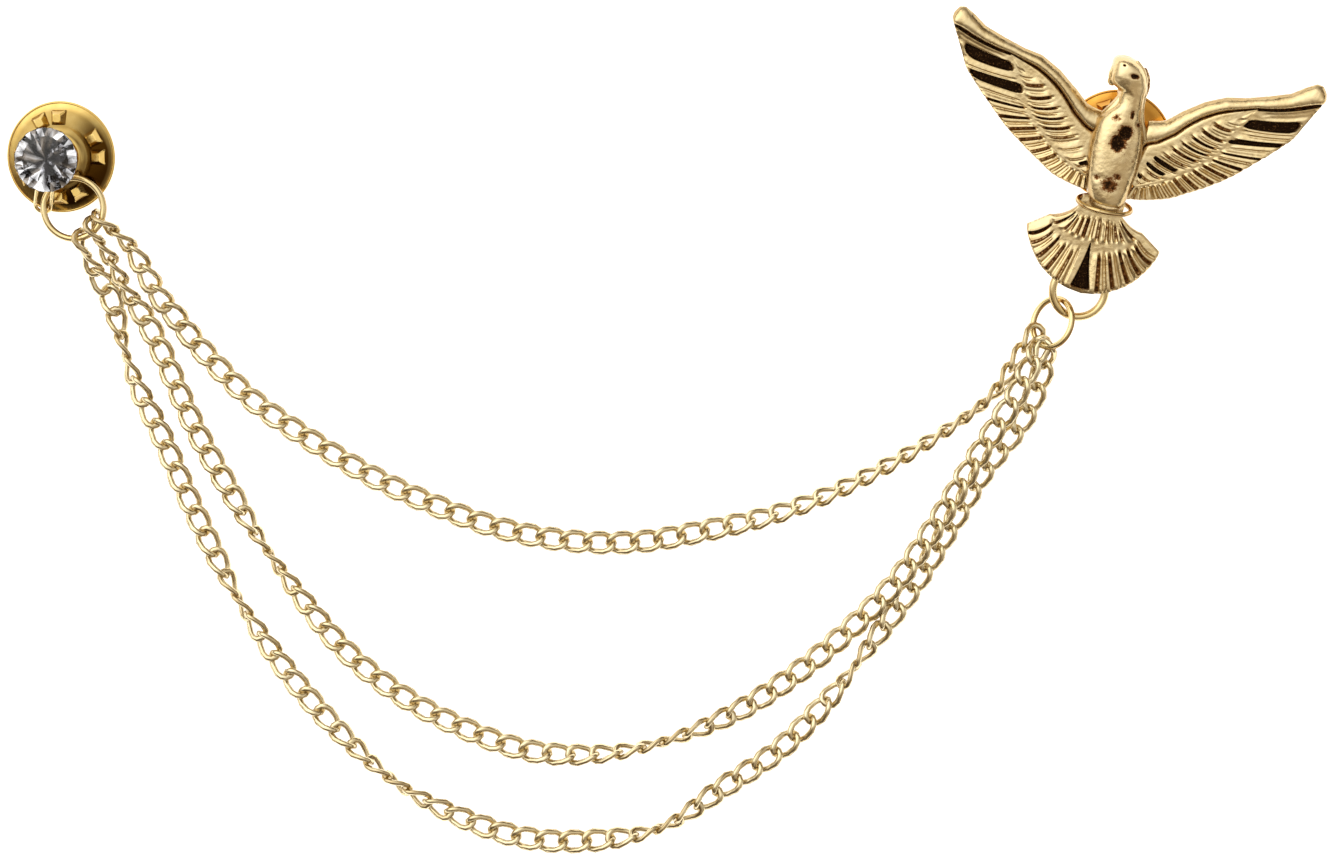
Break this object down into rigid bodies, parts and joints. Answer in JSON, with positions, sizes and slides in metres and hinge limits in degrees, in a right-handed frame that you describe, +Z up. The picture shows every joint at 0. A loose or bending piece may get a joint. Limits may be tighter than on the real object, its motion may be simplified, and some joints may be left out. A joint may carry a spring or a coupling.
{
  "type": "lapel brooch with chains",
  "caption": "Gold-tone eagle lapel brooch: cast bird on a clutch-back pin, joined by draped curb chains and jump rings to a rhinestone stud with a clutch.",
  "frame": {"origin": "middle of the overall box's base, on the surface that the brooch lies on", "axes": "+Z up from that surface, out of the bird's face; +X from the stud towards the bird; +Y from the lowest drape of the chains towards the bird's head"},
  "size_m": [0.1344, 0.0854, 0.0123],
  "materials": {
    "gold": "pale gold plate over a cast or drawn base metal, polished, worn dark in the hollows",
    "ring_gold": "gold-plated wire, polished",
    "clutch_gold": "stamped brass sheet, gold plated, bright",
    "amber_gold": "stamped brass sheet, deep gold plate",
    "stone": "clear cut crystal with a foiled back"
  },
  "bodies": {
    "brooch": {"bird": "gold", "bird_pin": "ring_gold", "waist_ring": "ring_gold", "tail_ring": "ring_gold", "chain_ring": "ring_gold", "chain_short": "gold", "chain_middle": "gold", "chain_long": "gold", "stud_ring": "ring_gold", "stud_setting": "ring_gold", "stone": "stone"},
    "bird_clutch": {"bird_clutch_disc": "amber_gold", "bird_clutch_spring": "amber_gold"},
    "stud_clutch": {"stud_clutch_disc": "clutch_gold", "stud_clutch_spring": "clutch_gold"}
  },
  "joints": [
    {"name": "bird_clutch_slide", "type": "slide", "parent": "brooch", "child": "bird_clutch", "axis": [0.0361, 0.1699, -0.9848], "range_m": [0, 0.009]},
    {"name": "stud_clutch_slide", "type": "slide", "parent": "brooch", "child": "stud_clutch", "axis": [0.1563, 0.1094, -0.9816], "range_m": [0, 0.008]}
  ]
}
